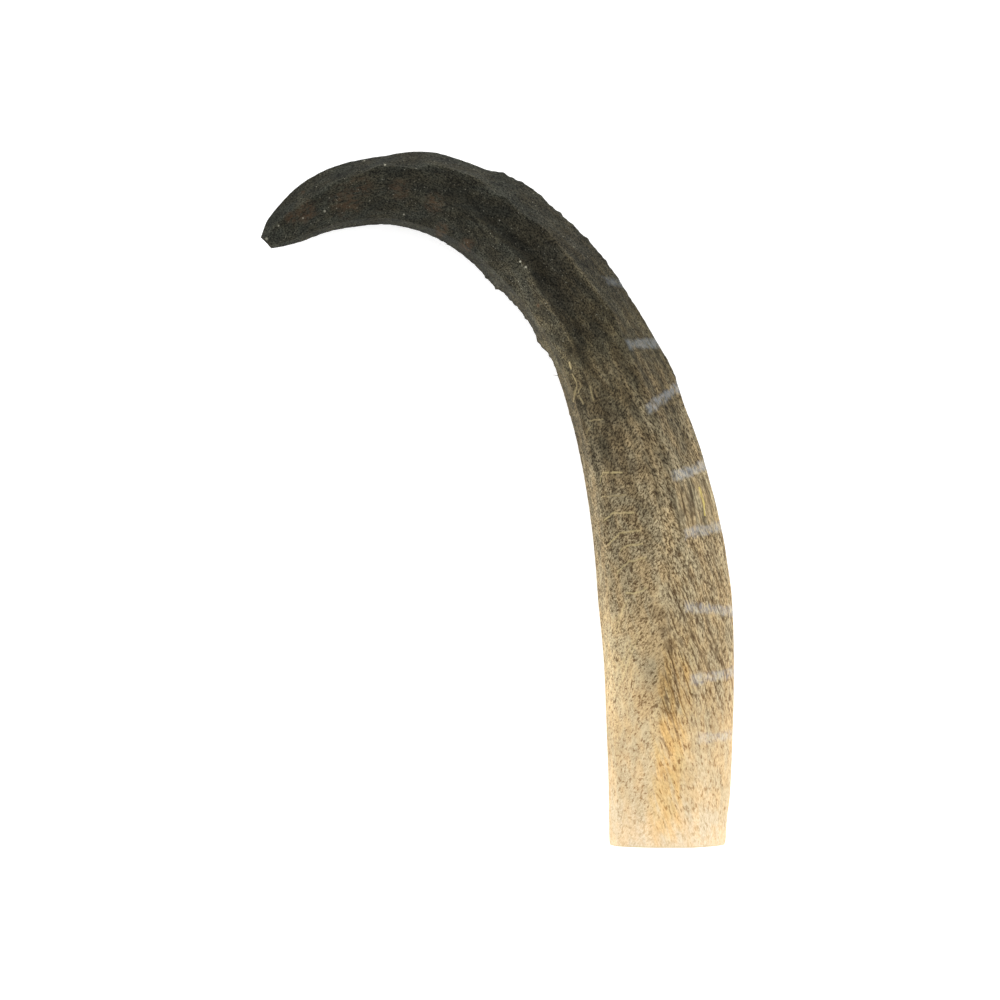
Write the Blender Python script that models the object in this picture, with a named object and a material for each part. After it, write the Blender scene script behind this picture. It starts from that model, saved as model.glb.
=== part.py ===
"""A hooked chamois horn, pared with a knife and cut off flat at its base, lying on its side.

The horn is one solid. Its middle line starts straight from the cut base and then turns ever more
tightly into the hook. Across it, every section is a soft oval whose corners have been pared off
into long facets: a broad side face, an outer bevel and two narrower inner bevels. The underside is
pared flat, so the horn lies still on a table.

Frame: X runs from the hooked side to the outer side of the bend, Y from the cut base towards the
top of the hook, and Z upwards from the table. Metres. The origin is under the middle of the
bounding box, on the table.
"""

import math

import bmesh
import bpy
import numpy as np
from mathutils import Vector

MM = 0.001

# Driving dimensions, in millimetres
HORN_LENGTH = 213.0  # along the middle line, up to the blunt tip
BASE_CUT = 0.5  # where the saw went through, along the middle line
SECTION_POWER = 2.35  # 2 is a plain oval, and more is a squarer one
BURIED = 1.6  # how far the oval would reach below the table, had the underside not been pared
LINE_STEP = 0.25  # spacing of the points that the middle line is worked out at

# How far the middle line has turned: millimetres from the base, then degrees
TURN = (
    (0, 0), (37, 1), (60, 5), (84, 12), (106, 22), (131, 36), (153, 54.5),
    (167, 70.2), (180, 87.8), (191, 103.8), (202, 119.8), (213, 133.5),
)

# The outline: millimetres from the base, then from the middle line to the edge
OUTER_EDGE = (
    (0, 11.9), (1.5, 12.7), (6, 13.1), (12, 13.8), (23, 14.4), (40, 15.0), (57, 15.3), (65, 14.9),
    (79, 14.0), (92, 13.0), (100, 12.5), (106, 12.7), (113, 12.0), (124, 11.5), (134, 11.6),
    (142, 11.3), (147, 11.2), (152, 11.5), (159, 11.1), (163, 10.0), (168, 9.8), (172, 9.9),
    (177, 9.3), (183, 7.9), (189, 7.5), (194, 7.1), (200, 6.2), (205, 4.8), (209, 3.6), (213, 1.6),
)
INNER_EDGE = (
    (0, 13.3), (1.5, 14.0), (14, 14.1), (25, 14.4), (42, 14.8), (58, 15.4), (70, 15.1), (83, 14.6),
    (94, 14.0), (106, 13.0), (114, 12.1), (122, 11.3), (125, 11.9), (132, 11.1), (142, 11.1),
    (145, 11.5), (152, 10.7), (161, 9.6), (172, 8.6), (183, 7.8), (191, 7.4), (197, 6.7),
    (202, 6.0), (206, 5.2), (210, 3.7), (213, 2.1),
)

# The thickness, and how far the underside curls up off the table near the tip
THICKNESS = (
    (0, 22.0), (1.5, 23.2), (25, 24.4), (57, 25.2), (83, 23.6), (106, 21.4), (131, 19.2),
    (153, 16.8), (172, 13.8), (189, 10.6), (200, 8.2), (208, 5.4), (213, 2.9),
)
UNDERSIDE = ((0, 0.6), (1.5, 0), (12, 0), (165, 0), (178, 0.1), (195, 0.8), (213, 2.4))

# The ridges between the facets of the upper side, from the middle line, outwards positive
OUTER_RIDGE = (
    (0, 5.0), (25, 5.3), (100, 5.0), (116, 4.9), (123, 5.9), (128, 5.3), (135, 5.1), (146, 5.8),
    (152, 5.2), (156, 6.2), (159, 5.5), (163, 6.9), (172, 6.9), (176, 5.2), (183, 5.4),
    (187, 4.0), (193, 3.4), (198, 2.1), (205, 1.7), (213, 0.5),
)
FACE_RIDGE = (
    (0, -3.5), (50, -3.6), (73, -4.0), (88, -5.7), (115, -5.7), (128, -5.2), (137, -4.9),
    (143, -3.4), (153, -2.6), (162, -0.9), (170, -1.4), (186, -3.4), (205, -2.6), (213, -0.8),
)
INNER_RIDGE = (
    (0, -8.6), (60, -8.6), (104, -9.0), (119, -7.8), (132, -7.0), (142, -5.4), (153, -5.2),
    (165, -4.6), (186, -4.9), (201, -3.9), (209, -2.4), (213, -1.3),
)
SIDE_RIDGE = (
    (0, -12.2), (60, -12.9), (84, -12.4), (106, -10.9), (122, -9.5), (142, -9.2), (161, -7.8),
    (183, -6.5), (197, -5.4), (206, -4.2), (213, -1.8),
)

RIDGE_LIMIT = 0.98  # the furthest out that a ridge may lie, as a share of the half-width

# How crisp the facets are (0 leaves the soft oval) and how deep the side face is scooped out
CRISPNESS = ((0, 0.5), (40, 0.6), (75, 0.85), (100, 1.0), (205, 1.0), (213, 0.9))
SCOOP = ((0, 0), (85, 0), (108, 0.6), (125, 1.2), (140, 1.7), (152, 1.5), (163, 0.6), (172, 0), (213, 0))
SCOOP_LEAN = 2.2  # more than 1 puts the deepest line nearer to the inner ridge

# The underside's ridges, as shares of the distance from the middle line to the edge
UNDER_OUTER = (0.88, 0.5)
UNDER_INNER = (0.5, 0.86)

# The mesh: rings along the horn, and steps across each facet from the outer edge downwards
RINGS = 108
FACET_STEPS = (3, 3, 5, 3, 3, 3, 2, 3, 6, 5)
SIDE_FACE = 8  # which of those facets is the broad side face

HORN_COLOUR = (0.30, 0.22, 0.13, 1.0)
HORN_ROUGHNESS = 0.72


def smooth(stations, at):
    """The value at a distance along the horn, on a smooth curve through the stations."""
    places = np.array([p for p, _ in stations], float)
    values = np.array([v for _, v in stations], float)
    steps = np.diff(values) / np.diff(places)
    slopes = np.concatenate(([steps[0]], np.zeros(len(steps) - 1), [steps[-1]]))
    for i in range(1, len(steps)):
        if steps[i - 1] * steps[i] > 0:
            slopes[i] = 2 * steps[i - 1] * steps[i] / (steps[i - 1] + steps[i])
    i = int(np.clip(np.searchsorted(places, at, side="right") - 1, 0, len(steps) - 1))
    gap = places[i + 1] - places[i]
    u = (at - places[i]) / gap
    start = (1 + 2 * u) * (1 - u) ** 2 * values[i] + u * (1 - u) ** 2 * gap * slopes[i]
    end = u * u * (3 - 2 * u) * values[i + 1] - u * u * (1 - u) * gap * slopes[i + 1]
    return start + end


def middle_line():
    """The middle line as distances, points and outward directions in the XY plane."""
    distances = np.arange(0, HORN_LENGTH + LINE_STEP, LINE_STEP)
    turns = np.radians([smooth(TURN, min(d, HORN_LENGTH)) for d in distances])
    headings = np.stack([-np.sin(turns), np.cos(turns)], axis=1)
    outwards = np.stack([np.cos(turns), np.sin(turns)], axis=1)
    strides = (headings[1:] + headings[:-1]) / 2 * LINE_STEP
    points = np.concatenate([[[0.0, 0.0]], np.cumsum(strides, axis=0)])
    return distances, points, outwards


def place(line, distance, across, height):
    """A point of the bent horn, from its distance along, offset across and height above the table."""
    distances, points, outwards = line
    centre = [np.interp(distance, distances, points[:, k]) for k in (0, 1)]
    outward = [np.interp(distance, distances, outwards[:, k]) for k in (0, 1)]
    return Vector((centre[0] + across * outward[0], centre[1] + across * outward[1], height))


def oval_angle(share):
    """The oval's own angle where the offset is this share of the half-width."""
    return math.acos(math.copysign(abs(share) ** (SECTION_POWER / 2), share))


def section(distance):
    """The points round the horn at a distance from the base, as offsets across and heights."""
    outer = smooth(OUTER_EDGE, distance)
    inner = smooth(INNER_EDGE, distance)
    thick = smooth(THICKNESS, distance)
    table = smooth(UNDERSIDE, distance)
    crisp = smooth(CRISPNESS, distance)
    scoop = smooth(SCOOP, distance)
    half = thick / 2

    def oval(angle):
        """A point on the soft oval, at an angle from the outer edge, below the edges where negative."""
        share = math.copysign(abs(math.cos(angle)) ** (2 / SECTION_POWER), math.cos(angle))
        rise = abs(math.sin(angle)) ** (2 / SECTION_POWER)
        across = share * (outer if share > 0 else inner)
        if angle < 0:
            return across, max(table, table + half - (half + BURIED) * rise)
        return across, table + half + half * rise

    def share_of(offset):
        """An offset as a share of the half-width on its side."""
        return float(np.clip(offset / (outer if offset > 0 else inner), -RIDGE_LIMIT, RIDGE_LIMIT))

    below = [-oval_angle(s) for s in (*UNDER_OUTER, *(-s for s in UNDER_INNER))]
    ridges = (SIDE_RIDGE, INNER_RIDGE, FACE_RIDGE, OUTER_RIDGE)
    above = [oval_angle(share_of(smooth(r, distance))) for r in ridges]
    corners = [0.0, *below, -math.pi, *above, 0.0]

    ring = []
    for facet, steps in enumerate(FACET_STEPS):
        first = corners[facet] if facet != len(below) + 1 else math.pi
        last = corners[facet + 1]
        a, b = oval(first), oval(last)
        for step in range(steps):
            u = step / steps
            soft = oval(first + (last - first) * u)
            flat = (a[0] + (b[0] - a[0]) * u, a[1] + (b[1] - a[1]) * u)
            across, height = (s + (f - s) * crisp for s, f in zip(soft, flat))
            if facet == SIDE_FACE:
                height -= scoop * math.sin(math.pi * (1 - u) ** SCOOP_LEAN)
            ring.append((across, height))
    return ring


def material(name, colour, roughness):
    made = bpy.data.materials.new(name)
    made.use_nodes = True
    shader = made.node_tree.nodes["Principled BSDF"]
    shader.inputs["Base Color"].default_value = colour
    shader.inputs["Roughness"].default_value = roughness
    shader.inputs["Metallic"].default_value = 0.0
    made.diffuse_color = colour
    return made


def horn():
    """A straight round blank with capped ends, whose rings are moved to the horn's sections."""
    around = sum(FACET_STEPS)
    bm = bmesh.new()
    bmesh.ops.create_cone(
        bm, cap_ends=True, segments=around, radius1=1.0, radius2=1.0, depth=1.0
    )
    along = [e for e in bm.edges if abs(e.verts[0].co.z - e.verts[1].co.z) > 0.5]
    bmesh.ops.subdivide_edges(bm, edges=along, cuts=RINGS - 2)

    line = middle_line()
    distances = np.linspace(BASE_CUT, HORN_LENGTH, RINGS)
    sections = [section(distance) for distance in distances]
    for vertex in bm.verts:
        ring = round((vertex.co.z + 0.5) * (RINGS - 1))
        turn = math.atan2(vertex.co.y, vertex.co.x) / (2 * math.pi)
        across, height = sections[ring][round(turn * around) % around]
        vertex.co = place(line, distances[ring], across, height)

    low = Vector(min(v.co[k] for v in bm.verts) for k in range(3))
    high = Vector(max(v.co[k] for v in bm.verts) for k in range(3))
    middle = Vector(((low.x + high.x) / 2, (low.y + high.y) / 2, low.z))
    bmesh.ops.translate(bm, verts=bm.verts, vec=-middle)
    bmesh.ops.scale(bm, verts=bm.verts, vec=(MM, MM, MM))

    mesh = bpy.data.meshes.new("horn")
    bm.to_mesh(mesh)
    bm.free()
    mesh.shade_smooth()
    mesh.set_sharp_from_angle(angle=math.radians(30))
    mesh.materials.append(material("horn", HORN_COLOUR, HORN_ROUGHNESS))
    return bpy.data.objects.new("horn", mesh)


def main():
    for old in list(bpy.data.objects):
        bpy.data.objects.remove(old, do_unlink=True)
    collection = bpy.data.collections.new("chamois_horn")
    bpy.context.scene.collection.children.link(collection)
    collection.objects.link(horn())


main()
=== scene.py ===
# %% [markdown]
# A hooked chamois horn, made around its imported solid.
# The real horn grew as one piece. Somebody sawed it off square, pared its side with a knife, and left
# it cream at the base and nearly black towards the tip. So one mesh is made here, in place of the
# faceted solid, and a second small one holds the fibres that fray out of it. Nearly all of the look
# lies in the surface: the knife's facets, the pebbled grain, and the colours that follow the bend.

# %% Load the solid that the looks must fit
import math
import random

import bmesh
import bpy
import numpy as np
from mathutils import Matrix, Vector, noise


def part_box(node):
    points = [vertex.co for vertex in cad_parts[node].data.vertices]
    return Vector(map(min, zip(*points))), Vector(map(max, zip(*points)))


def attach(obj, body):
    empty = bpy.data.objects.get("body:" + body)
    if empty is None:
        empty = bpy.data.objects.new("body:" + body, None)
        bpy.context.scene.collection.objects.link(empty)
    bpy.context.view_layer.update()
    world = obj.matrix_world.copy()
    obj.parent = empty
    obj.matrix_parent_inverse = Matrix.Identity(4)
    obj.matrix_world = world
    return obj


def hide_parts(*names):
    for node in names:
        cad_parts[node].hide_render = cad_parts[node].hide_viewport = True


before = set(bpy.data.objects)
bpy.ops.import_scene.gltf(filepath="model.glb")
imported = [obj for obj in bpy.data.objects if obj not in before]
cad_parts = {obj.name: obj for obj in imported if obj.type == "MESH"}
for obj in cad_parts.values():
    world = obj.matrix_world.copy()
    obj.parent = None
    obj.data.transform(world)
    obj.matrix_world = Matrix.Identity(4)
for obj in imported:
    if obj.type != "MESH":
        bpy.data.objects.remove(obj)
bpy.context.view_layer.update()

MM = 0.001
horn_low, horn_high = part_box("horn")
print("the solid horn, in mm:", [round(side / MM, 1) for side in horn_high - horn_low])

# %% [markdown]
# The horn's form is worked out in a straightened horn: how far along it, how far across from its
# middle line, and how high above the table. A few stations say how each measure changes from the
# base to the tip. A straight line between stations would leave corners, and an ordinary spline could
# swing past them, so a smooth curve is used that never overshoots. All stations are in millimetres
# from the base. They are the solid's own, but for the rim of the sawn end, which is crisper here.

# %% A smooth curve through stations
def smooth(stations, at):
    """The value at a distance along the horn, on a smooth curve through the stations."""
    places = np.array([p for p, _ in stations], float)
    values = np.array([v for _, v in stations], float)
    steps = np.diff(values) / np.diff(places)
    slopes = np.concatenate(([steps[0]], np.zeros(len(steps) - 1), [steps[-1]]))
    for i in range(1, len(steps)):
        if steps[i - 1] * steps[i] > 0:
            slopes[i] = 2 * steps[i - 1] * steps[i] / (steps[i - 1] + steps[i])
    i = int(np.clip(np.searchsorted(places, at, side="right") - 1, 0, len(steps) - 1))
    gap = places[i + 1] - places[i]
    u = (at - places[i]) / gap
    start = (1 + 2 * u) * (1 - u) ** 2 * values[i] + u * (1 - u) ** 2 * gap * slopes[i]
    end = u * u * (3 - 2 * u) * values[i + 1] - u * u * (1 - u) * gap * slopes[i + 1]
    return start + end


# %% [markdown]
# The middle line starts straight and then turns ever more tightly into the hook. Only the turning is
# stated. Its points follow from it, as a walker's path follows from their headings, so the line can't
# have a kink.

# %% The middle line
HORN_LENGTH = 213.0
BASE_CUT = 0.5
LINE_STEP = 0.25
TURN = (
    (0, 0), (37, 1), (60, 5), (84, 12), (106, 22), (131, 36), (153, 54.5),
    (167, 70.2), (180, 87.8), (191, 103.8), (202, 119.8), (213, 133.5),
)


def middle_line():
    """The middle line as distances, points and outward directions in the XY plane."""
    distances = np.arange(0, HORN_LENGTH + LINE_STEP, LINE_STEP)
    turns = np.radians([smooth(TURN, min(d, HORN_LENGTH)) for d in distances])
    headings = np.stack([-np.sin(turns), np.cos(turns)], axis=1)
    outwards = np.stack([np.cos(turns), np.sin(turns)], axis=1)
    strides = (headings[1:] + headings[:-1]) / 2 * LINE_STEP
    points = np.concatenate([[[0.0, 0.0]], np.cumsum(strides, axis=0)])
    return distances, points, outwards


LINE = middle_line()


def place(distance, across, height):
    """A point of the bent horn in millimetres, before it is centred."""
    distances, points, outwards = LINE
    centre = [np.interp(distance, distances, points[:, k]) for k in (0, 1)]
    outward = [np.interp(distance, distances, outwards[:, k]) for k in (0, 1)]
    return Vector((centre[0] + across * outward[0], centre[1] + across * outward[1], height))


print("the middle line ends at", [round(c, 1) for c in LINE[1][-1]], "mm from the base")

# %% [markdown]
# Across the middle line, a section is a soft oval with its corners pared off. The edges, the
# thickness and the ridges between the facets each have their stations, as pairs of a distance from
# the base and an offset from the middle line. The ridges waver in the upper half, where the knife
# took scallops off.

# %% The outline and the thickness
OUTER_EDGE = (
    (0, 12.3), (1.5, 12.8), (6, 13.1), (12, 13.8), (23, 14.4), (40, 15.0), (57, 15.3), (65, 14.9),
    (79, 14.0), (92, 13.0), (100, 12.5), (106, 12.7), (113, 12.0), (124, 11.5), (134, 11.6),
    (142, 11.3), (147, 11.2), (152, 11.5), (159, 11.1), (163, 10.0), (168, 9.8), (172, 9.9),
    (177, 9.3), (183, 7.9), (189, 7.5), (194, 7.1), (200, 6.2), (205, 4.8), (209, 3.6), (213, 1.6),
)
INNER_EDGE = (
    (0, 13.7), (1.5, 14.0), (14, 14.1), (25, 14.4), (42, 14.8), (58, 15.4), (70, 15.1), (83, 14.6),
    (94, 14.0), (106, 13.0), (114, 12.1), (122, 11.3), (125, 11.9), (132, 11.1), (142, 11.1),
    (145, 11.5), (152, 10.7), (161, 9.6), (172, 8.6), (183, 7.8), (191, 7.4), (197, 6.7),
    (202, 6.0), (206, 5.2), (210, 3.7), (213, 2.1),
)
THICKNESS = (
    (0, 22.8), (1.5, 23.2), (25, 24.4), (57, 25.2), (83, 23.6), (106, 21.4), (131, 19.2),
    (153, 16.8), (172, 13.8), (189, 10.6), (200, 8.2), (208, 5.4), (213, 2.9),
)
UNDERSIDE = ((0, 0.3), (1.5, 0), (12, 0), (165, 0), (178, 0.1), (195, 0.8), (213, 2.4))

# %% The ridges between the facets
OUTER_RIDGE = (
    (0, 5.0), (25, 5.3), (100, 5.0), (116, 4.9), (123, 5.9), (128, 5.3), (135, 5.1), (146, 5.8),
    (152, 5.2), (156, 6.2), (159, 5.5), (163, 6.9), (172, 6.9), (176, 5.2), (183, 5.4),
    (187, 4.0), (193, 3.4), (198, 2.1), (205, 1.7), (213, 0.5),
)
FACE_RIDGE = (
    (0, -3.5), (50, -3.6), (73, -4.0), (88, -5.7), (115, -5.7), (128, -5.2), (137, -4.9),
    (143, -3.4), (153, -2.6), (162, -0.9), (170, -1.4), (186, -3.4), (205, -2.6), (213, -0.8),
)
INNER_RIDGE = (
    (0, -8.6), (60, -8.6), (104, -9.0), (119, -7.8), (132, -7.0), (142, -5.4), (153, -5.2),
    (165, -4.6), (186, -4.9), (201, -3.9), (209, -2.4), (213, -1.3),
)
SIDE_RIDGE = (
    (0, -12.2), (60, -12.9), (84, -12.4), (106, -10.9), (122, -9.5), (142, -9.2), (161, -7.8),
    (183, -6.5), (197, -5.4), (206, -4.2), (213, -1.8),
)
CRISPNESS = ((0, 0.5), (40, 0.6), (75, 0.85), (100, 1.0), (205, 1.0), (213, 0.9))
SCOOP = (
    (0, 0), (85, 0), (108, 0.6), (125, 1.2), (140, 1.7), (152, 1.5), (163, 0.6), (172, 0), (213, 0),
)

# %% [markdown]
# One function gives the points round a section. Each facet runs between two corners, and its points
# lie somewhere between the oval and the straight cut, as the crispness says. The steps on each facet
# are chosen so that the mesh is even, at about 0.4 mm.

# %% One section
SECTION_POWER = 2.35  # 2 is a plain oval, and more is a squarer one
BURIED = 1.6  # how far the oval would reach below the table, had the underside not been pared
RIDGE_LIMIT = 0.98  # the furthest out that a ridge may lie, as a share of the half-width
SCOOP_LEAN = 2.2  # more than 1 puts the scoop's deepest line nearer to FACE_RIDGE
UNDER_OUTER = (0.88, 0.5)  # the underside's corners, as shares of the half-width
UNDER_INNER = (0.5, 0.86)
FACET_STEPS = (14, 14, 26, 14, 14, 14, 10, 16, 30, 26)  # from the outer edge, underside first
SIDE_FACE = 8  # which of those facets is the broad side face
AROUND = sum(FACET_STEPS)


def oval_angle(share):
    """The oval's own angle where the offset is this share of the half-width."""
    return math.acos(math.copysign(abs(share) ** (SECTION_POWER / 2), share))


def section(distance):
    """The points round the horn at a distance from the base, as offsets across and heights."""
    outer = smooth(OUTER_EDGE, distance)
    inner = smooth(INNER_EDGE, distance)
    table = smooth(UNDERSIDE, distance)
    half = smooth(THICKNESS, distance) / 2
    crisp = smooth(CRISPNESS, distance)
    scoop = smooth(SCOOP, distance)

    def oval(angle):
        share = math.copysign(abs(math.cos(angle)) ** (2 / SECTION_POWER), math.cos(angle))
        lift = abs(math.sin(angle)) ** (2 / SECTION_POWER)
        across = share * (outer if share > 0 else inner)
        if angle < 0:
            return across, max(table, table + half - (half + BURIED) * lift)
        return across, table + half + half * lift

    def share_of(offset):
        return float(np.clip(offset / (outer if offset > 0 else inner), -RIDGE_LIMIT, RIDGE_LIMIT))

    below = [-oval_angle(s) for s in (*UNDER_OUTER, *(-s for s in UNDER_INNER))]
    ridges = (SIDE_RIDGE, INNER_RIDGE, FACE_RIDGE, OUTER_RIDGE)
    above = [oval_angle(share_of(smooth(ridge, distance))) for ridge in ridges]
    corners = [0.0, *below, -math.pi, *above, 0.0]

    ring = []
    for facet, steps in enumerate(FACET_STEPS):
        first = corners[facet] if facet != len(below) + 1 else math.pi
        last = corners[facet + 1]
        a, b = oval(first), oval(last)
        for step in range(steps):
            u = step / steps
            soft = oval(first + (last - first) * u)
            flat = (a[0] + (b[0] - a[0]) * u, a[1] + (b[1] - a[1]) * u)
            across, height = (s + (f - s) * crisp for s, f in zip(soft, flat))
            if facet == SIDE_FACE:
                height -= scoop * math.sin(math.pi * (1 - u) ** SCOOP_LEAN)
            ring.append((across, height))
    return ring


print("points round a section:", AROUND)

# %% [markdown]
# The blank is a straight rod with capped ends, made by the cone operator and cut into rings. Every
# vertex then moves to its place on its section. Sweeping a profile along a curve would give a tube of
# one shape, while here each ring has a shape of its own. The cone's corners lie half a step off the
# x axis, so the step is rounded down: rounding to the nearest would send two corners to one place.
# The straightened place of each vertex stays with it as an attribute, so that the grain and the
# markings can follow the bend later.

# %% Cut the blank into rings and bend it
RINGS = 540
RING_PLACES = np.linspace(BASE_CUT, HORN_LENGTH, RINGS)
SECTIONS = [section(distance) for distance in RING_PLACES]

bm = bmesh.new()
bmesh.ops.create_cone(bm, cap_ends=True, segments=AROUND, radius1=1.0, radius2=1.0, depth=1.0)
lengthwise = [e for e in bm.edges if abs(e.verts[0].co.z - e.verts[1].co.z) > 0.5]
bmesh.ops.subdivide_edges(bm, edges=lengthwise, cuts=RINGS - 2)
straight = bm.verts.layers.float_vector.new("straight")
for vertex in bm.verts:
    ring = round((vertex.co.z + 0.5) * (RINGS - 1))
    step = math.floor(math.atan2(vertex.co.y, vertex.co.x) / (2 * math.pi) * AROUND) % AROUND
    across, height = SECTIONS[ring][step]
    vertex[straight] = (RING_PLACES[ring], across, height)
    vertex.co = place(RING_PLACES[ring], across, height)
print("the bent blank has", len(bm.verts), "vertices")

# %% Centre it on the solid
low = Vector(min(v.co[k] for v in bm.verts) for k in range(3))
high = Vector(max(v.co[k] for v in bm.verts) for k in range(3))
blank_middle = Vector(((low.x + high.x) / 2, (low.y + high.y) / 2, low.z))
solid_middle = Vector(((horn_low.x + horn_high.x) / 2, (horn_low.y + horn_high.y) / 2, horn_low.z))


def on_solid(distance, across, height):
    """A point of the straightened horn, in metres, where it lies in the finished part."""
    return (place(distance, across, height) - blank_middle) * MM + solid_middle


for vertex in bm.verts:
    vertex.co = on_solid(*vertex[straight])
print("too long by", [round(a - b / MM, 2) for a, b in zip(high - low, horn_high - horn_low)], "mm")

# %% [markdown]
# The two ends are single flat faces with many corners. Each is doubled in place, and its copy is
# shrunk towards the middle, again and again, so that the ends shade evenly. Insetting by a width
# would make the rings cross where the outline curves tightly. The last face becomes a fan round a
# middle point, because its corners lie in straight rows and would leave triangles without area.

# %% The sawn base and the blunt tip
CAP_RINGS = {BASE_CUT: 9, HORN_LENGTH: 3}

for distance, rings in CAP_RINGS.items():
    centre = on_solid(distance, 0.0, smooth(UNDERSIDE, distance) + smooth(THICKNESS, distance) / 2)
    outward = (on_solid(distance, 1.0, 0.0) - on_solid(distance, 0.0, 0.0)) / MM
    ends = [f for f in bm.faces if len(f.verts) == AROUND]
    end = min(ends, key=lambda f: (f.calc_center_median() - centre).length)
    for k in range(rings - 1, 0, -1):
        end = bmesh.ops.extrude_discrete_faces(bm, faces=[end])["faces"][0]
        bmesh.ops.scale(bm, verts=end.verts, vec=[k / (k + 1)] * 3, space=Matrix.Translation(-centre))
        for vertex in end.verts:
            vertex[straight] = (distance, (vertex.co - centre).dot(outward) / MM, vertex.co.z / MM)
    middle = bmesh.ops.poke(bm, faces=[end])["verts"][0]
    middle[straight] = (distance, (middle.co - centre).dot(outward) / MM, middle.co.z / MM)
print("with its capped ends it has", len(bm.faces), "faces")

# %% [markdown]
# The surface isn't smooth. The knife left shallow hollows, the upper half is pebbled, grooves run
# along the outer side at mid-length, and nubs stand out of both edges of the bend. A Displace
# modifier with a texture could do one of these. Noise read vertex by vertex, in the straightened
# horn, does them all, each where it belongs. The underside stays on the table.

# %% The relief of the surface
HOLLOW_DEPTH = 0.13  # in millimetres, as are the next four
PEBBLE_HEIGHT = 0.09
GROOVE_DEPTH = 0.12
ROUGH_EDGE = 0.14
NUB_WIDTH = 0.5
NUBS = (
    # along in mm, +1 on the outer edge or -1 on the inner one, how tall in mm
    (159.3, 1, 0.3), (155.2, 1, 0.25), (152.9, 1, 0.2), (150.8, 1, 0.25), (145.8, 1, 0.4),
    (142.4, 1, 0.2), (138.4, 1, 0.25), (132.8, 1, 0.2), (104.7, 1, 0.15), (149.0, -1, 0.2),
    (144.8, -1, 0.35), (140.0, -1, 0.25), (133.4, -1, 0.2), (126.3, -1, 0.3), (121.4, -1, 0.25),
    (105.7, -1, 0.15),
)


def rise(value, low, high):
    """From 0 at low to 1 at high, with soft ends."""
    u = min(1.0, max(0.0, (value - low) / (high - low)))
    return u * u * (3 - 2 * u)


def window(value, low, high, soft):
    """1 between low and high, with ends that are soft over this width."""
    half = soft / 2
    return rise(value, low - half, low + half) * (1 - rise(value, high - half, high + half))


def near(distance, width):
    """1 at no distance, falling away over a width to either side."""
    return math.exp(-((distance / width) ** 2))


def speckle(spot, size, stretch=1.0):
    """Noise of a size in millimetres, stretched along the horn, from about -1 to 1."""
    return noise.noise(Vector((spot[0] / (size * stretch), spot[1] / size, spot[2] / size)))


def relief(spot, share):
    """How far the surface stands out of its section here, in millimetres."""
    along = spot[0]
    dark = rise(along, 70, 130)
    hollows = HOLLOW_DEPTH * (0.3 + 0.7 * dark) * speckle(spot, 4.5, 1.8)
    pebbles = PEBBLE_HEIGHT * (0.35 + 0.65 * dark) * speckle(spot, 1.2)
    grooves = window(along, 52, 96, 20) * rise(share, 0.1, 0.45)
    grooves *= GROOVE_DEPTH * speckle(spot, 1.1, 9.0)
    nubs = window(along, 118, 172, 12) * rise(abs(share), 0.86, 0.98)
    nubs *= ROUGH_EDGE * speckle(spot, 0.8)
    for where, side, tall in NUBS:
        if abs(along - where) < 2 * NUB_WIDTH and share * side > 0.8:
            nubs += tall * near(along - where, NUB_WIDTH) * rise(share * side, 0.84, 0.97)
    return hollows + pebbles + grooves + nubs


# %% Give the surface its relief
MEASURES = [
    [smooth(stations, d) for stations in (OUTER_EDGE, INNER_EDGE, THICKNESS, OUTER_RIDGE, FACE_RIDGE)]
    for d in RING_PLACES
]


def measures(along):
    """Half-widths, thickness and ridge places of the ring that a vertex is on."""
    return MEASURES[round((along - BASE_CUT) / (HORN_LENGTH - BASE_CUT) * (RINGS - 1))]


def edge_share(along, across):
    """How far out a place lies, from -1 on the inner edge to 1 on the outer one."""
    outer, inner = measures(along)[:2]
    return across / (outer if across > 0 else inner)


def sawn_off(along):
    """Whether a place is on the flat face that the saw left."""
    return along < BASE_CUT + 0.01


bm.normal_update()
normals = {v: v.normal.copy() for v in bm.verts}
for vertex in bm.verts:
    along, across, _ = vertex[straight]
    if not sawn_off(along):
        vertex.co += normals[vertex] * relief(vertex[straight], edge_share(along, across)) * MM
    vertex.co.z = max(vertex.co.z, horn_low.z)
highest = max(v.co.z for v in bm.verts)
print("the relief reaches", round((highest - horn_high.z) / MM, 2), "mm above the solid")

# %% [markdown]
# The facets differ in tone as well as in slope: the broad side face is nearly black in the upper
# half, and the bevels beside it are greyer, partly in their own colour and partly by painted light.
# The ridges between them carry a thin painted highlight, and the scoop beside the face ridge a
# painted shade. In the lower half the rims are lighter by painted light, with painted shade a little
# further in. That tone is worked out once for each vertex and kept as an attribute, because the
# ridges' stations are at hand here, and a shader would need them again.

# %% The tone of each facet
RIDGE_SOFTNESS = 0.35
RIDGE_HIGHLIGHT_WIDTH = 0.35
RIDGE_HIGHLIGHT_STRENGTH = 0.5


def bevel_tone(along, across, outer_ridge, face_ridge):
    """How much lighter the bevels and ridges are than the side face, with painted light, highlight and
    shade.
    """
    past_face = rise(face_ridge - across, -RIDGE_SOFTNESS, RIDGE_SOFTNESS)
    past_outer = rise(across - outer_ridge, -RIDGE_SOFTNESS, RIDGE_SOFTNESS)
    # Both bevels are lighter than the side face, partly in their own grey and partly by painted light.
    inner = past_face * rise(along, 98, 124) * (0.12 + 0.85 * window(along, 116, 150, 20))
    outer = past_outer * (0.22 * window(along, 130, 182, 20) - 0.16 * window(along, 96, 128, 14))
    # Painted highlight: a thin pale line along the outer ridge and the face ridge.
    wear_and_highlight = near(across - outer_ridge, RIDGE_HIGHLIGHT_WIDTH) * window(along, 128, 208, 16)
    wear_and_highlight += near(across - face_ridge + 0.4, RIDGE_HIGHLIGHT_WIDTH) * window(along, 120, 168, 10)
    # Painted shade in the scoop beside the face ridge.
    scoop_shade = -0.2 * near(across - face_ridge - 2.5, 2.2) * window(along, 116, 168, 16)
    return inner + outer + wear_and_highlight * RIDGE_HIGHLIGHT_STRENGTH + scoop_shade


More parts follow.
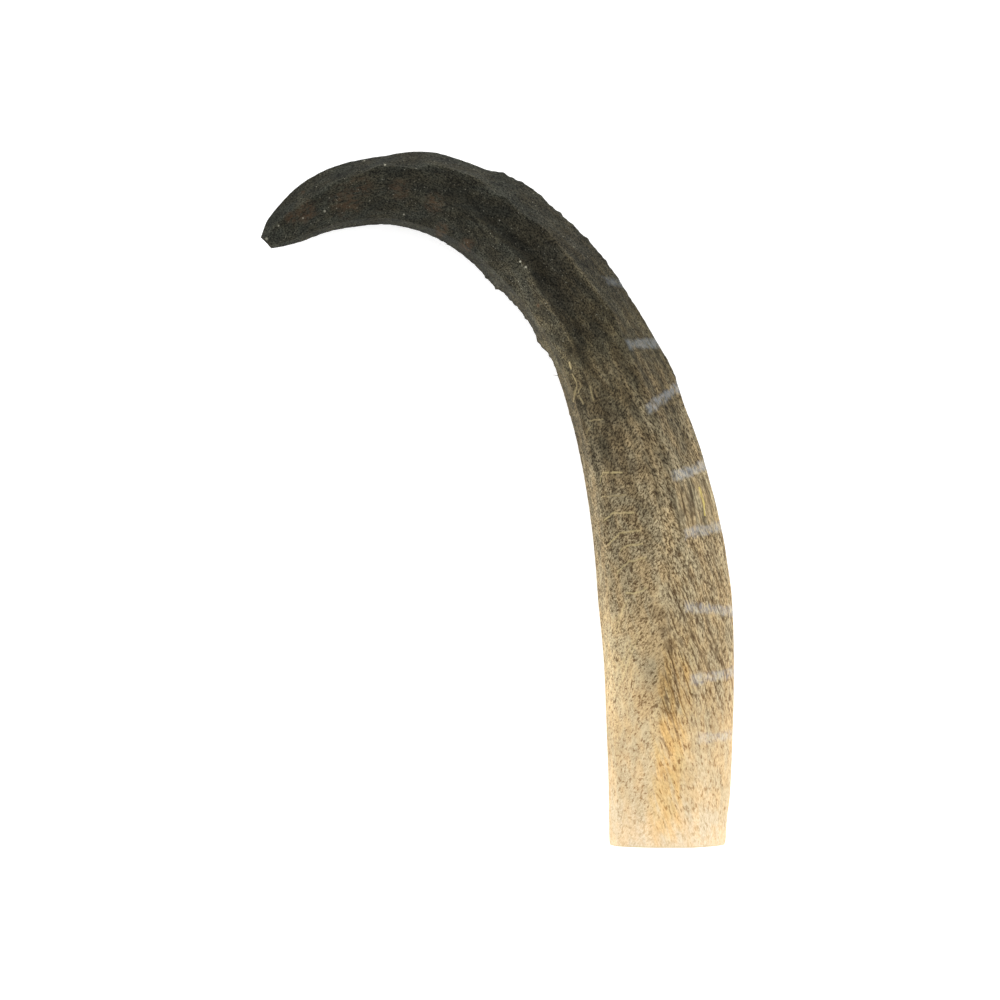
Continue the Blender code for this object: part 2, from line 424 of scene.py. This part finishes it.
def broad_tone(along, across, share):
    """How much lighter the broad patches of the upper side are."""
    seam = 0.13 * window(along, 19, 32, 6) * window(across, -5.0, 5.0, 3.0)
    seam -= 0.15 * window(along, 34, 46, 8) * window(across, -6.0, 0.5, 3.0)
    inner = 0.25 * window(along, 30, 54, 16) * rise(-share, 0.35, 0.85)
    inner -= 0.2 * window(along, 58, 92, 14) * window(share, -0.75, -0.15, 0.3)
    inner -= 0.32 * window(along, 94, 112, 12) * rise(-share, 0.22, 0.4)
    # Painted shade: the lower half is a little darker towards both edges.
    edges = -0.1 * rise(abs(share), 0.35, 0.75) * (1 - rise(along, 72, 98))
    return seam + inner + edges


def facet_tone(along, across, height):
    """How much lighter the surface is here than the side face, where 1 is the same."""
    _, _, thick, outer_ridge, face_ridge = measures(along)
    share = edge_share(along, across)
    upper = rise(height / thick, 0.3, 0.6)
    patches = bevel_tone(along, across, outer_ridge, face_ridge) + broad_tone(along, across, share)
    # Painted light: the outermost rims of the lower half are lighter, as if lit from the sides.
    rim_light = rise(-share, 0.8, 0.9) + 1.2 * rise(share, 0.86, 0.97)
    return 1 + upper * patches + 0.14 * window(along, 28, 112, 20) * rim_light


# %% Give each vertex its tone
tone_layer = bm.verts.layers.float.new("tone")
top_layer = bm.verts.layers.float.new("top")
sawn_layer = bm.verts.layers.float.new("sawn")
for vertex in bm.verts:
    along, across, height = vertex[straight]
    vertex[tone_layer] = facet_tone(along, across, height)
    vertex[top_layer] = rise(height / measures(along)[2], 0.25, 0.5)
    vertex[sawn_layer] = float(sawn_off(along))
tones = [v[tone_layer] for v in bm.verts]
print("tones from", round(min(tones), 2), "to", round(max(tones), 2))

# %% [markdown]
# A bmesh is only a workbench. What was made on it goes into a mesh, and the mesh into an object that
# sits at the origin. It is shaded smooth except where faces meet at more than sixty degrees, so the
# rim of the sawn end stays crisp.

# %% A finished mesh
SHARP_ANGLE = math.radians(60)


def finished(name, bm, material):
    """The object that a bmesh makes, shaded smooth but for its sharp edges."""
    mesh = bpy.data.meshes.new(name)
    bm.to_mesh(mesh)
    bm.free()
    mesh.shade_smooth()
    mesh.set_sharp_from_angle(angle=SHARP_ANGLE)
    mesh.materials.append(material)
    made = bpy.data.objects.new(name, mesh)
    bpy.context.scene.collection.objects.link(made)
    print(name, "has", sum(len(p.vertices) - 2 for p in mesh.polygons), "triangles")
    return made


# %% [markdown]
# A shader is a graph, and maths in it soon takes dozens of small nodes. One small class wraps a
# socket, so that an ordinary expression such as 1 - mask adds the nodes by itself. Every other node
# comes from its one method, which sets the node's own settings first and then its sockets.

# %% Shader maths as expressions
class Wire:
    """One output of a node tree. Expressions on it add the nodes that work them out."""

    def __init__(self, tree, socket=None):
        self.tree = tree
        self.socket = socket

    def node(self, kind, settings=(), sockets=(), out=0):
        made = self.tree.nodes.new(kind)
        for key, value in dict(settings).items():
            if key == "stops":
                ramp = made.color_ramp
                while len(ramp.elements) < len(value):
                    ramp.elements.new(0.5)
                for element, (where, colour) in zip(ramp.elements, value):
                    element.position = where
                    element.color = colour
            else:
                setattr(made, key, value)
        for key, value in dict(sockets).items():
            if isinstance(value, Wire):
                self.tree.links.new(value.socket, made.inputs[key])
            else:
                made.inputs[key].default_value = value
        return Wire(self.tree, made.outputs[out])

    def math(self, operation, *values):
        return self.node("ShaderNodeMath", {"operation": operation}, dict(enumerate(values)))

    def __add__(self, other):
        return self.math("ADD", self, other)

    __radd__ = __add__

    def __sub__(self, other):
        return self.math("SUBTRACT", self, other)

    def __rsub__(self, other):
        return self.math("SUBTRACT", other, self)

    def __mul__(self, other):
        return self.math("MULTIPLY", self, other)

    __rmul__ = __mul__

    def __abs__(self):
        return self.math("ABSOLUTE", self)

    def rise(self, low, high):
        """0 below low, 1 above high, and soft between."""
        return self.node(
            "ShaderNodeMapRange",
            {"interpolation_type": "SMOOTHSTEP"},
            {0: self, 1: low, 2: high, 3: 0.0, 4: 1.0},
        )

    def between(self, low, high, soft):
        """1 between low and high, with ends that are soft over this width."""
        half = soft / 2
        return self.rise(low - half, low + half) * (1 - self.rise(high - half, high + half))


# %% Colours as they look on a screen
def tone(red, green, blue):
    """A screen colour, 0 to 255, as the linear colour that a shader works in."""
    def linear(value):
        share = value / 255
        return share / 12.92 if share <= 0.04045 else ((share + 0.055) / 1.055) ** 2.4

    return (linear(red), linear(green), linear(blue), 1.0)


def blend(share, first, second, how="MIX"):
    """The first colour where share is 0 and the second where it is 1."""
    some = next(value for value in (share, first, second) if isinstance(value, Wire))
    return some.node(
        "ShaderNodeMix", {"data_type": "RGBA", "blend_type": how}, {0: share, 6: first, 7: second}, out=2
    )


# %% [markdown]
# The horn's colour has three layers. Two ramps along the horn give a light and a dark tone, and a
# pebbled grain picks between them. Streaks and a golden patch tint that. Last come the marks: pale
# bars across the outer side, thin growth lines on the inner side, rusty stains and specks. A painted
# picture would be simpler, but it would have a resolution and a seam, and noise in the straightened
# horn has neither.

# %% Grain, threads and flecks
def laid(spot, size, stretch, turn, shift):
    """Texture coordinates in units of a size in millimetres, stretched along a turned direction."""
    return spot.node(
        "ShaderNodeMapping",
        {"vector_type": "TEXTURE"},
        {
            "Vector": spot,
            "Location": (shift, shift, shift),
            "Rotation": (0.0, 0.0, math.radians(turn)),
            "Scale": (size * stretch, size, size),
        },
    )


def grain(spot, size, stretch=1.0, turn=0.0, detail=2.0, rough=0.5, shift=0.0):
    """Soft noise, mostly between 0.3 and 0.7."""
    where = laid(spot, size, stretch, turn, shift)
    sockets = {"Vector": where, "Scale": 1.0, "Detail": detail, "Roughness": rough}
    return spot.node("ShaderNodeTexNoise", {}, sockets)


def threads(spot, gap, turn, width, shift=0.0, present=0.5):
    """Long thin lines, about a gap apart, that waver, and are present over about this share."""
    row = spot.node("ShaderNodeSeparateXYZ", {}, {0: laid(spot, gap, 1.0, turn, shift)}, out="Y")
    row = row + (grain(spot, gap * 1.6, 7.0, turn, shift=shift) - 0.5) * 2.6
    row = row + (grain(spot, gap * 0.7, 1.6, turn, shift=shift + 2.0) - 0.5) * 0.4
    away = abs(row.math("FRACT", row) - 0.5) * gap
    fading = grain(spot, gap * 0.9, 5.0, turn, detail=3.0, shift=shift + 4.0)
    fading = (fading + present * 0.4).rise(0.62, 0.76)
    return (1 - away.rise(width * 0.2, width * 0.7)) * fading


def flecks(spot, size, stretch, turn, shift=0.0):
    """Separate flecks: 1 where the noise is lowest, and 0 elsewhere."""
    return 1 - grain(spot, size, stretch, turn, detail=2.0, rough=0.6, shift=shift).rise(0.36, 0.45)


# %% Strokes and spots at measured places
def from_stroke(u, v, points, width):
    """How far a place is from a line through points of the straightened horn, in millimetres."""
    lengthwise = abs(points[-1][0] - points[0][0]) > abs(points[-1][1] - points[0][1])
    u, v = (u, v) if lengthwise else (v, u)
    places = sorted(point if lengthwise else point[::-1] for point in points)
    first, last = places[0][0], places[-1][0]
    line = places[0][1]
    for (a, b), (c, d) in zip(places, places[1:]):
        line = u.node("ShaderNodeMapRange", {}, {0: u, 1: a, 2: c, 3: 0.0, 4: d - b}) + line
    beyond = abs(u - (first + last) / 2) - (last - first - width) / 2
    return u.math("MAXIMUM", beyond, abs(v - line))


def strokes(u, v, lines, width, soft=0.3):
    """1 on the lines and 0 away from them. Only the nearest line counts."""
    nearest = from_stroke(u, v, lines[0], width)
    for line in lines[1:]:
        nearest = u.math("MINIMUM", nearest, from_stroke(u, v, line, width))
    return nearest.rise((width + soft) / 2, (width - soft) / 2)


def spots(flat, places):
    """1 at each place (along, across, radius) of the straightened horn, fading to 0 at its radius."""
    nearest = 9.0  # in radii, and so further off than any spot reaches
    for along, across, radius in places:
        sockets = {0: flat, 1: (along, across, 0.0)}
        away = flat.node("ShaderNodeVectorMath", {"operation": "DISTANCE"}, sockets, out="Value")
        nearest = flat.math("MINIMUM", away * (1 / radius), nearest)
    return nearest.rise(1.0, 0.3)


# %% Light and dark tones along the horn
LIGHT_TONES = (
    (0, (224, 207, 180)), (14, (211, 191, 156)), (28, (195, 176, 140)), (42, (182, 165, 131)),
    (58, (177, 161, 128)), (76, (173, 158, 126)), (92, (146, 133, 106)), (106, (118, 108, 85)),
    (118, (90, 84, 66)), (132, (62, 59, 49)), (156, (50, 50, 43)), (182, (50, 50, 43)),
    (213, (52, 53, 46)),
)
DARK_TONES = (
    (0, (186, 156, 116)), (14, (156, 123, 83)), (28, (118, 89, 59)), (42, (90, 70, 48)),
    (58, (82, 65, 46)), (76, (70, 57, 41)), (92, (52, 43, 31)), (106, (38, 32, 23)),
    (118, (28, 25, 18)), (132, (18, 17, 13)), (156, (13, 13, 10)), (182, (14, 14, 11)),
    (213, (17, 17, 14)),
)


def tone_ramp(station, tones):
    """The tone at a station, which runs from 0 at the base to 1 at the tip."""
    stops = [(where / HORN_LENGTH, tone(*colour)) for where, colour in tones]
    return station.node("ShaderNodeValToRGB", {"stops": stops}, {0: station})


def scaled(colour, factor):
    """A colour made lighter or darker by a factor."""
    if not isinstance(factor, Wire):
        factor = (factor, factor, factor, 1.0)
    return blend(1.0, colour, factor, "MULTIPLY")


# %% [markdown]
# The grain leans towards a seam down the middle of the lower half, in from the inner side at forty
# degrees and out on the other side at fifteen, like the barbs of a feather. Further up it becomes
# finer and lies along the horn. The tones change at ragged places, because noise shifts the station
# at which each ramp is read.

# %% Tones and grain
def light_and_dark(spot, along):
    """The light and the dark tone here."""
    wander = (grain(spot, 9.0, 1.6) - 0.5) * 26 + (grain(spot, 2.2, 2.0, shift=2.0) - 0.5) * 16
    station = (along + wander) * (1 / HORN_LENGTH)
    return tone_ramp(station, LIGHT_TONES), tone_ramp(station, DARK_TONES)


def seam_place(along):
    """How far across the seam lies: 4 mm inside the middle line at the base, and on it higher up."""
    return along.rise(5, 65) * 4 - 4


def pebbled(spot, along, outer_half):
    """0 where the grain is dark and 1 where it is light."""
    leaning_in = grain(spot, 0.40, 1.6, turn=40, detail=3.0, rough=0.75)
    leaning_out = grain(spot, 0.40, 2.4, turn=-15, detail=3.0, rough=0.75, shift=11.0)
    fine = grain(spot, 0.3, 1.4, turn=10, detail=2.0, rough=0.7, shift=29.0)
    mixed = leaning_in + (leaning_out - leaning_in) * outer_half
    mixed = mixed + (fine - mixed) * along.rise(95, 130)
    strength = 0.5 + along.rise(20, 70) * 0.5
    return 1 - (1 - mixed.rise(0.37, 0.62)) * strength


# %% [markdown]
# Longer things lie over the grain. Dark flecks follow its lean. Thin dark threads slant away from the
# seam on the outer side, and pale ones lie on both sides of it. At mid-length they give way to
# grooves that run straight along the horn.

# %% Flecks, grooves and threads
GROOVE_BAND = (4.5, 15.0, 1.5)
GROOVE_PATCH = (72, 82.5, 3)


def scored(colour, light, dark, spot, along, across, outer_half):
    """The colour with the flecks, grooves and threads laid over it."""
    spotted = flecks(spot, 0.7, 1.5, 38, 43.0)
    spotted = spotted + (flecks(spot, 0.6, 2.6, -16, 47.0) - spotted) * outer_half
    spotted = spotted * along.between(2, 84, 20)
    slanting = threads(spot, 1.25, -19, 0.36, 7.0) * outer_half * along.between(28, 66, 14)
    grooves = threads(spot, 1.1, -1, 0.4, 19.0, 0.95) * across.between(*GROOVE_BAND)
    grooves = grooves * (along.between(*GROOVE_PATCH) + along.between(86, 112, 10) * 0.35)
    between_grooves = across.between(*GROOVE_BAND) * along.between(*GROOVE_PATCH)
    colour = blend(spotted * 0.8, colour, scaled(dark, 0.85))
    colour = blend(between_grooves * 0.35, colour, scaled(light, 0.92))
    colour = blend(slanting * 0.8 + grooves * 0.65, colour, scaled(dark, 0.85))

    pale = threads(spot, 2.1, 22, 0.5, 37.0) + threads(spot, 2.6, 42, 0.4, 53.0) * 0.7
    pale = pale * (1 - outer_half) + threads(spot, 1.25, -19, 0.3, 7.4) * outer_half * 0.8
    pale = pale * along.between(8, 66, 14)
    return blend(pale * 0.6, colour, scaled(light, 1.04))


# %% [markdown]
# Some changes are wider than the grain: brown streaks further up, warm and cool patches, a soft
# mottling, and the golden patch beside the seam. They multiply the colour, so that the grain shows
# through them.

# %% Streaks, hues and the golden patch
COOL = (0.98, 1.0, 1.0, 1.0)  # factors on the colour, not colours
WARM = (1.06, 0.99, 0.88, 1.0)
GOLD = (1.08, 0.96, 0.73, 1.0)


def tinted(colour, spot, along, across, top):
    """The same colour with broad streaks, warm and cool patches, and gold beside the seam."""
    streaks = grain(spot, 1.7, 9.0, turn=-4, shift=23.0).rise(0.42, 0.6) * along.between(72, 140, 24)
    colour = blend(streaks * 0.7, colour, scaled(colour, 0.5))
    warmth = grain(spot, 2.6, 2.4, turn=-10, shift=41.0).rise(0.35, 0.65)
    colour = blend(1.0, colour, blend(warmth, COOL, WARM), "MULTIPLY")
    mottle = grain(spot, 2.2, 1.8, detail=3.0, shift=61.0).rise(0.3, 0.7) * 0.5 + 0.75
    colour = scaled(colour, 1 + (mottle - 1) * along.rise(20, 110))
    seam = seam_place(along)
    golden = grain(spot, 1.3, 7.0, turn=-15, detail=3.0, shift=31.0).rise(0.38, 0.6) * 0.85 + 0.15
    glow = (across - seam).between(-1.0, 6.4, 3.4) * along.between(3, 46, 16) * top
    return blend(golden * glow, colour, GOLD, "MULTIPLY")


# %% [markdown]
# The marks were read off the horn one by one, as distances along and across it. The bars are pale and
# bluish, and only colour: a finger would not feel them. The growth lines are less than half a
# millimetre wide, and bend back where they near the inner edge. Each pair of brackets is one point.

# %% Where the marks are
BARS = (
    ((25.4, 6.2), (25.8, 17.0)), ((38.6, 4.5), (40.2, 17.0)), ((55.2, 4.1), (53.0, 17.0)),
    ((71.4, 5.6), (71.8, 17.0)), ((84.3, 5.2), (85.6, 17.0)), ((100.0, 3.6), (103.6, 17.0)),
    ((114.9, 5.4), (111.4, 16.0)), ((129.3, 8.8), (124.6, 14.0)),
)
BAR_WIDTH = 2.1
LINE_WIDTH = 0.4
GROWTH_LINES = (
    ((64.1, -10.8), (66.7, -8.0), (67.2, -3.8)), ((69.5, -9.5), (70.5, -7.8), (70.5, -3.9)),
    ((71.4, -12.0), (73.8, -8.7), (73.5, -4.3)), ((77.3, -11.9), (78.7, -9.9), (78.0, -5.0)),
    ((86.5, -11.3), (88.9, -10.2), (87.7, -5.7)), ((59.4, -9.1), (58.9, -7.4), (60.3, -4.3)),
)
FAINT_LINES = (
    ((83.2, -11.4), (83.0, -9.5), (82.3, -5.9)), ((49.9, -11.7), (54.4, -10.8), (57.9, -8.6)),
    ((45.9, -9.1), (49.4, -8.0), (50.4, -6.5)), ((41.6, -11.2), (44.9, -9.9), (47.1, -8.6)),
    ((37.6, -11.6), (50.4, -6.5)), ((51.6, -12.1), (56.8, -9.1)),
    ((102.1, -9.7), (101.9, -8.2), (101.4, -6.3)), ((99.3, -10.9), (100.7, -9.9)),
    ((114.7, -8.8), (112.0, -9.0), (108.1, -11.3)), ((111.4, -7.8), (109.7, -9.8)),
    ((109.2, -9.9), (106.4, -9.4)), ((110.2, -6.3), (108.1, -6.7), (106.2, -7.1)),
    ((117.5, -8.3), (115.9, -8.6)),
)
DARK_STRANDS = (
    ((60.3, 0.6), (35.7, 11.0)), ((62.4, 5.2), (38.1, 13.4)), ((46.6, 0.0), (36.0, 1.6)),
    ((35.2, -1.6), (25.1, 1.7)), ((49.9, 4.7), (37.1, 11.0)), ((50.6, 7.7), (42.8, 11.1)),
    ((26.0, -2.7), (21.5, 0.1)), ((81.8, 6.9), (75.4, 6.3)), ((81.8, 9.0), (75.0, 8.6)),
    ((82.3, 12.4), (74.5, 12.9)), ((117.0, -9.6), (109.2, -6.7)),
    ((114.2, -6.8), (111.8, -6.9), (106.4, -6.1)), ((142.1, 6.0), (143.7, 3.3)),
    ((167.4, -1.2), (158.2, -1.9)), ((164.3, 0.1), (155.6, -3.8)), ((159.1, -3.7), (154.9, -6.7)),
)
GOLD_STRANDS = (((80.9, 10.9), (77.5, 11.2), (74.4, 11.0)),)
SMUDGES = (  # each of these and of the next two has a radius as well
    (54.3, -2.4, 2.6), (50.2, -1.2, 2.6), (46.8, 0.0, 2.2), (84.4, 9.6, 1.0),
    (96.0, -5.2, 3.0), (92.0, -5.6, 2.6), (88.5, -3.4, 3.0), (101.5, -4.4, 2.4), (119.5, -6.0, 3.0),
)
RUST = (
    (191.5, -1.4, 5.0), (187.5, 1.0, 3.6), (201.2, -0.2, 3.6), (205.0, 0.4, 2.0), (178.7, 0.0, 3.2),
    (170.0, -1.8, 3.2), (166.2, -7.0, 2.4), (158.2, -7.8, 2.6), (133.6, -7.1, 0.8), (200.0, 4.1, 0.8),
)
SPECKS = (
    (197.2, -2.0, 0.4), (202.6, -1.1, 0.3), (212.3, 0.3, 0.45), (208.3, 0.7, 0.3), (177.1, -5.6, 0.3),
    (182.0, 5.6, 0.3), (186.1, 7.2, 0.25), (142.8, -3.5, 0.4), (144.7, -3.5, 0.35), (154.6, 1.0, 0.3),
)


# %% Lay the marks over the ground
BAR_TONE = tone(188, 197, 205)
GROWTH_TONE = tone(190, 174, 126)
FAINT_TONE = tone(196, 178, 132)
GOLD_STRAND_TONE = tone(202, 184, 104)
RUST_TONE = tone(76, 58, 42)
SPECK_TONE = tone(150, 147, 132)


def marked(colour, dark, spot, along, across, top):
    """The colour with the bars, lines, strands, stains and specks laid over it."""
    flat = spot.node("ShaderNodeCombineXYZ", {}, {"X": along, "Y": across})
    bent = along + (grain(spot, 1.8, shift=5.0) - 0.5) * 1.0
    wavy = along + (grain(spot, 2.5, shift=5.0) - 0.5) * 1.8
    swayed = across + (grain(spot, 1.6, 3.0, shift=25.0) - 0.5) * 1.2

    strands = strokes(bent, swayed, DARK_STRANDS, 0.45, 0.4) * top
    colour = blend(strands * 0.65, colour, scaled(dark, 0.8))
    colour = blend(spots(flat, SMUDGES) * 0.42, colour, scaled(dark, 0.8))
    broken = grain(spot, 0.9, 1.6, turn=-14, detail=3.0, shift=3.0).rise(0.32, 0.6)
    bars = strokes(wavy, swayed, BARS, BAR_WIDTH, 1.2) * (1 - along.rise(95, 135) * 0.6) * top
    colour = blend(bars * (broken * 0.17 + 0.07), colour, BAR_TONE)

    wear_and_highlight = grain(spot, 0.9, shift=35.0).rise(0.25, 0.45) * top
    growth = strokes(bent, swayed, GROWTH_LINES, LINE_WIDTH) * wear_and_highlight
    colour = blend(growth * 0.62, colour, GROWTH_TONE)
    faint = strokes(bent, swayed, FAINT_LINES, LINE_WIDTH) * wear_and_highlight
    colour = blend(faint * 0.35, colour, FAINT_TONE)
    gold = strokes(bent, swayed, GOLD_STRANDS, 0.3) * top
    colour = blend(gold * 0.6, colour, GOLD_STRAND_TONE)

    blotchy = grain(spot, 1.2, 2.5, detail=4.0, rough=0.8, shift=13.0).rise(0.4, 0.62)
    colour = blend(spots(flat, RUST) * blotchy * top * 0.45, colour, RUST_TONE)
    dust = grain(spot, 0.4, shift=17.0, detail=1.0).rise(0.7, 0.76) * along.rise(95, 130) * top * 0.35
    return blend(spots(flat, SPECKS) * top * 0.5 + dust, colour, SPECK_TONE)


# %% [markdown]
# The surface was pared and never polished, so it is nearly without shine. A fine bump stands for grain
# that is too small for the mesh. The sawn end has a pale tone of its own, crossed by the saw's marks.

# %% The horn's material
SHINE = 0.06
SAWN_TONES = (tone(170, 148, 110), tone(206, 189, 156))
BUMP = {"Strength": 0.5, "Distance": 0.0003}


def kept(start, name, out="Fac"):
    """What the mesh keeps at each vertex under this name."""
    return start.node("ShaderNodeAttribute", {"attribute_name": name}, out=out)


def horn_material():
    """The whole look of the horn, worked out at each point from its straightened place."""
    made = bpy.data.materials.new("horn_surface")
    made.use_nodes = True
    shader = made.node_tree.nodes["Principled BSDF"]
    start = Wire(made.node_tree)
    spot = kept(start, "straight", "Vector")
    facet = kept(start, "tone")
    top = kept(start, "top")
    sawn = kept(start, "sawn")
    along = start.node("ShaderNodeSeparateXYZ", {}, {0: spot}, out="X")
    across = start.node("ShaderNodeSeparateXYZ", {}, {0: spot}, out="Y")

    light, dark = light_and_dark(spot, along)
    outer_half = (across - seam_place(along)).rise(-0.9, 0.9)
    colour = blend(pebbled(spot, along, outer_half), dark, light)
    colour = scored(colour, light, dark, spot, along, across, outer_half)
    colour = tinted(colour, spot, along, across, top)
    colour = marked(colour, dark, spot, along, across, top)
    # The facet tone also holds painted light and shade: lighter bevels and rims, a highlight on the
    # ridges, and shade in the scoop and towards the edges.
    colour = scaled(colour, facet)
    saw_marks = grain(spot, 0.35, 16.0, turn=84, detail=3.0)
    colour = blend(sawn, colour, blend(saw_marks, *SAWN_TONES))

    height = grain(spot, 0.42, 2.0, detail=3.0, rough=0.7)
    bump = start.node("ShaderNodeBump", {}, {**BUMP, "Height": height})
    roughness = 0.76 - along.rise(60, 140) * 0.1
    made.node_tree.links.new(colour.socket, shader.inputs["Base Color"])
    made.node_tree.links.new(bump.socket, shader.inputs["Normal"])
    made.node_tree.links.new(roughness.socket, shader.inputs["Roughness"])
    shader.inputs["Specular IOR Level"].default_value = SHINE
    print("the horn's material has", len(made.node_tree.nodes), "nodes")
    return made


horn_surface = finished("horn_surface", bm, horn_material())
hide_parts("horn")
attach(horn_surface, "root")

# %% [markdown]
# Where the knife tore the horn instead of cutting it, fibres stand out of the dark half. Each is a
# thin closed cone with three sides that leaves the surface at a low angle. Their places are random,
# with a fixed seed, apart from three long hairs at the inner edge. They stay a mesh of their own,
# because they are far finer than the solid's facets. Lengths here are in millimetres.

# %% Frayed fibres
FIBRES = 420
FRAYED = (96, 205)  # from here to here along the horn
FIBRE_LENGTH = (0.7, 1.9)
FIBRE_SLOPE = (0.1, 0.28)
FIBRE_LEAN = 0.35
FIBRE_WIDTH = 0.11
ROOT_DEPTH = 0.05
FIRST_ABOVE = sum(FACET_STEPS[:5])
LOW_FLANK = AROUND - 20  # past this step, low on the outer side, fibres lean inwards and don't show
LONG_HAIRS = ((115.6, -12.0, 1.7), (126.5, -11.5, 0.7), (121.0, -11.3, 0.6))
FIBRE_TONE = tone(66, 61, 49)


def surface_point(along, step):
    """A point of the surface, before its relief, on the ring next to a distance from the base."""
    ring = int(np.searchsorted(RING_PLACES, along))
    across, height = SECTIONS[ring][step]
    return on_solid(RING_PLACES[ring], across, height)


def add_fibre(bm, root, tip, width):
    """One cone from its root to its tip, added to a bmesh."""
    made = bmesh.ops.create_cone(
        bm, cap_ends=True, segments=3, radius1=width / 2, radius2=0.0, depth=(tip - root).length
    )
    turn = (tip - root).to_track_quat("Z", "Y").to_matrix().to_4x4()
    bmesh.ops.transform(bm, verts=made["verts"], matrix=Matrix.Translation((root + tip) / 2) @ turn)


chance = random.Random(7)
fibre_bm = bmesh.new()
for _ in range(FIBRES):
    along = chance.uniform(*FRAYED)
    step = chance.randrange(FIRST_ABOVE, AROUND)
    root = surface_point(along, step)
    ahead = surface_point(along + 1.0, step) - root
    beside = surface_point(along, (step + 1) % AROUND) - surface_point(along, step - 1)
    out = ahead.cross(beside).normalized()
    out = out if out.z > 0 or step > LOW_FLANK else -out
    lean = chance.uniform(-FIBRE_LEAN, FIBRE_LEAN)
    way = ahead.normalized() + beside.normalized() * lean + out * chance.uniform(*FIBRE_SLOPE)
    tip = root + way.normalized() * chance.uniform(*FIBRE_LENGTH) * MM
    add_fibre(fibre_bm, root - out * ROOT_DEPTH * MM, tip, FIBRE_WIDTH * MM)
for along, across, length in LONG_HAIRS:
    root = on_solid(along, across + 0.6, smooth(THICKNESS, along) * 0.5)
    tip = on_solid(along + length * 0.8, across - length * 0.6, smooth(THICKNESS, along) * 0.5)
    add_fibre(fibre_bm, root, tip, 2 * FIBRE_WIDTH * MM)

fibre_paint = bpy.data.materials.new("horn_fibres")
fibre_paint.use_nodes = True
fibre_shader = fibre_paint.node_tree.nodes["Principled BSDF"]
fibre_shader.inputs["Base Color"].default_value = FIBRE_TONE
fibre_shader.inputs["Roughness"].default_value = 0.8
fibre_shader.inputs["Specular IOR Level"].default_value = SHINE

fibres = finished("horn_fibres", fibre_bm, fibre_paint)
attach(fibres, "root")

# %% [markdown]
# The floor is plain and nearly white. It glows a little, like a light table, so that no shadow shows
# and the horn's outline is all that is seen. The light is that of a product tent: soft, from all
# round, and a little stronger from the sides, which is why the horn's edges look lighter than its
# middle.

# %% The floor
FLOOR_SIZE = 4.0
FLOOR_COLOUR = (0.92, 0.92, 0.92, 1.0)
FLOOR_GLOW = 0.4

floor_bm = bmesh.new()
bmesh.ops.create_grid(floor_bm, x_segments=1, y_segments=1, size=FLOOR_SIZE / 2)
floor_mesh = bpy.data.meshes.new("floor")
floor_bm.to_mesh(floor_mesh)
floor_bm.free()
floor = bpy.data.objects.new("floor", floor_mesh)
bpy.context.scene.collection.objects.link(floor)
floor_paint = bpy.data.materials.new("floor")
floor_paint.use_nodes = True
floor_shader = floor_paint.node_tree.nodes["Principled BSDF"]
floor_shader.inputs["Base Color"].default_value = FLOOR_COLOUR
floor_shader.inputs["Roughness"].default_value = 0.8
floor_shader.inputs["Emission Color"].default_value = (1.0, 1.0, 1.0, 1.0)
floor_shader.inputs["Emission Strength"].default_value = FLOOR_GLOW
floor_mesh.materials.append(floor_paint)
print("the floor is", FLOOR_SIZE, "m wide and lies at", floor.location.z, "m")

# %% The light
SKY_STRENGTH = 0.5
SOFT_BOXES = 8
RING_RADIUS = 0.8
RING_HEIGHT = 0.32
SOFT_BOX_SIDE = 0.5
SOFT_BOX_POWER = 2.55

world = bpy.data.worlds.new("studio")
world.use_nodes = True
world.node_tree.nodes["Background"].inputs["Color"].default_value = (1.0, 1.0, 1.0, 1.0)
world.node_tree.nodes["Background"].inputs["Strength"].default_value = SKY_STRENGTH
bpy.context.scene.world = world
for k in range(SOFT_BOXES):
    angle = 2 * math.pi * (k + 0.5) / SOFT_BOXES
    stand = Vector((RING_RADIUS * math.cos(angle), RING_RADIUS * math.sin(angle), RING_HEIGHT))
    lamp = bpy.data.lights.new(f"soft_box_{k + 1}", "AREA")
    lamp.shape = "SQUARE"
    lamp.size = SOFT_BOX_SIDE
    lamp.energy = SOFT_BOX_POWER
    lamp_object = bpy.data.objects.new(lamp.name, lamp)
    aimed = stand.to_track_quat("Z", "Y").to_matrix().to_4x4()
    lamp_object.matrix_world = Matrix.Translation(stand) @ aimed
    bpy.context.scene.collection.objects.link(lamp_object)
bpy.context.scene.view_settings.view_transform = "Standard"
print(SOFT_BOXES, "soft boxes of", SOFT_BOX_POWER, "W each, aimed at the origin")

# %% [markdown]
# The camera looks straight down on the horn, as in the photograph, from about 1.2 metres. From there
# the top of the base leans out over its own edge by just as much as it does in the photograph.

# %% The camera
CAMERA_HEIGHT = 1.2  # above the horn's widest level
WIDEST_LEVEL = 0.012
FIELD = 0.23  # how much of the table the picture takes in, in metres
SENSOR = 36.0
AIM = (0.0008, -0.0006)  # the point of the table under the middle of the picture

camera_data = bpy.data.cameras.new("camera")
camera_data.sensor_width = SENSOR
camera_data.lens = SENSOR * CAMERA_HEIGHT / FIELD
camera = bpy.data.objects.new("camera", camera_data)
camera.location = (AIM[0], AIM[1], CAMERA_HEIGHT + WIDEST_LEVEL)
bpy.context.scene.collection.objects.link(camera)
bpy.context.scene.camera = camera
print("the lens is", round(camera_data.lens), "mm long")
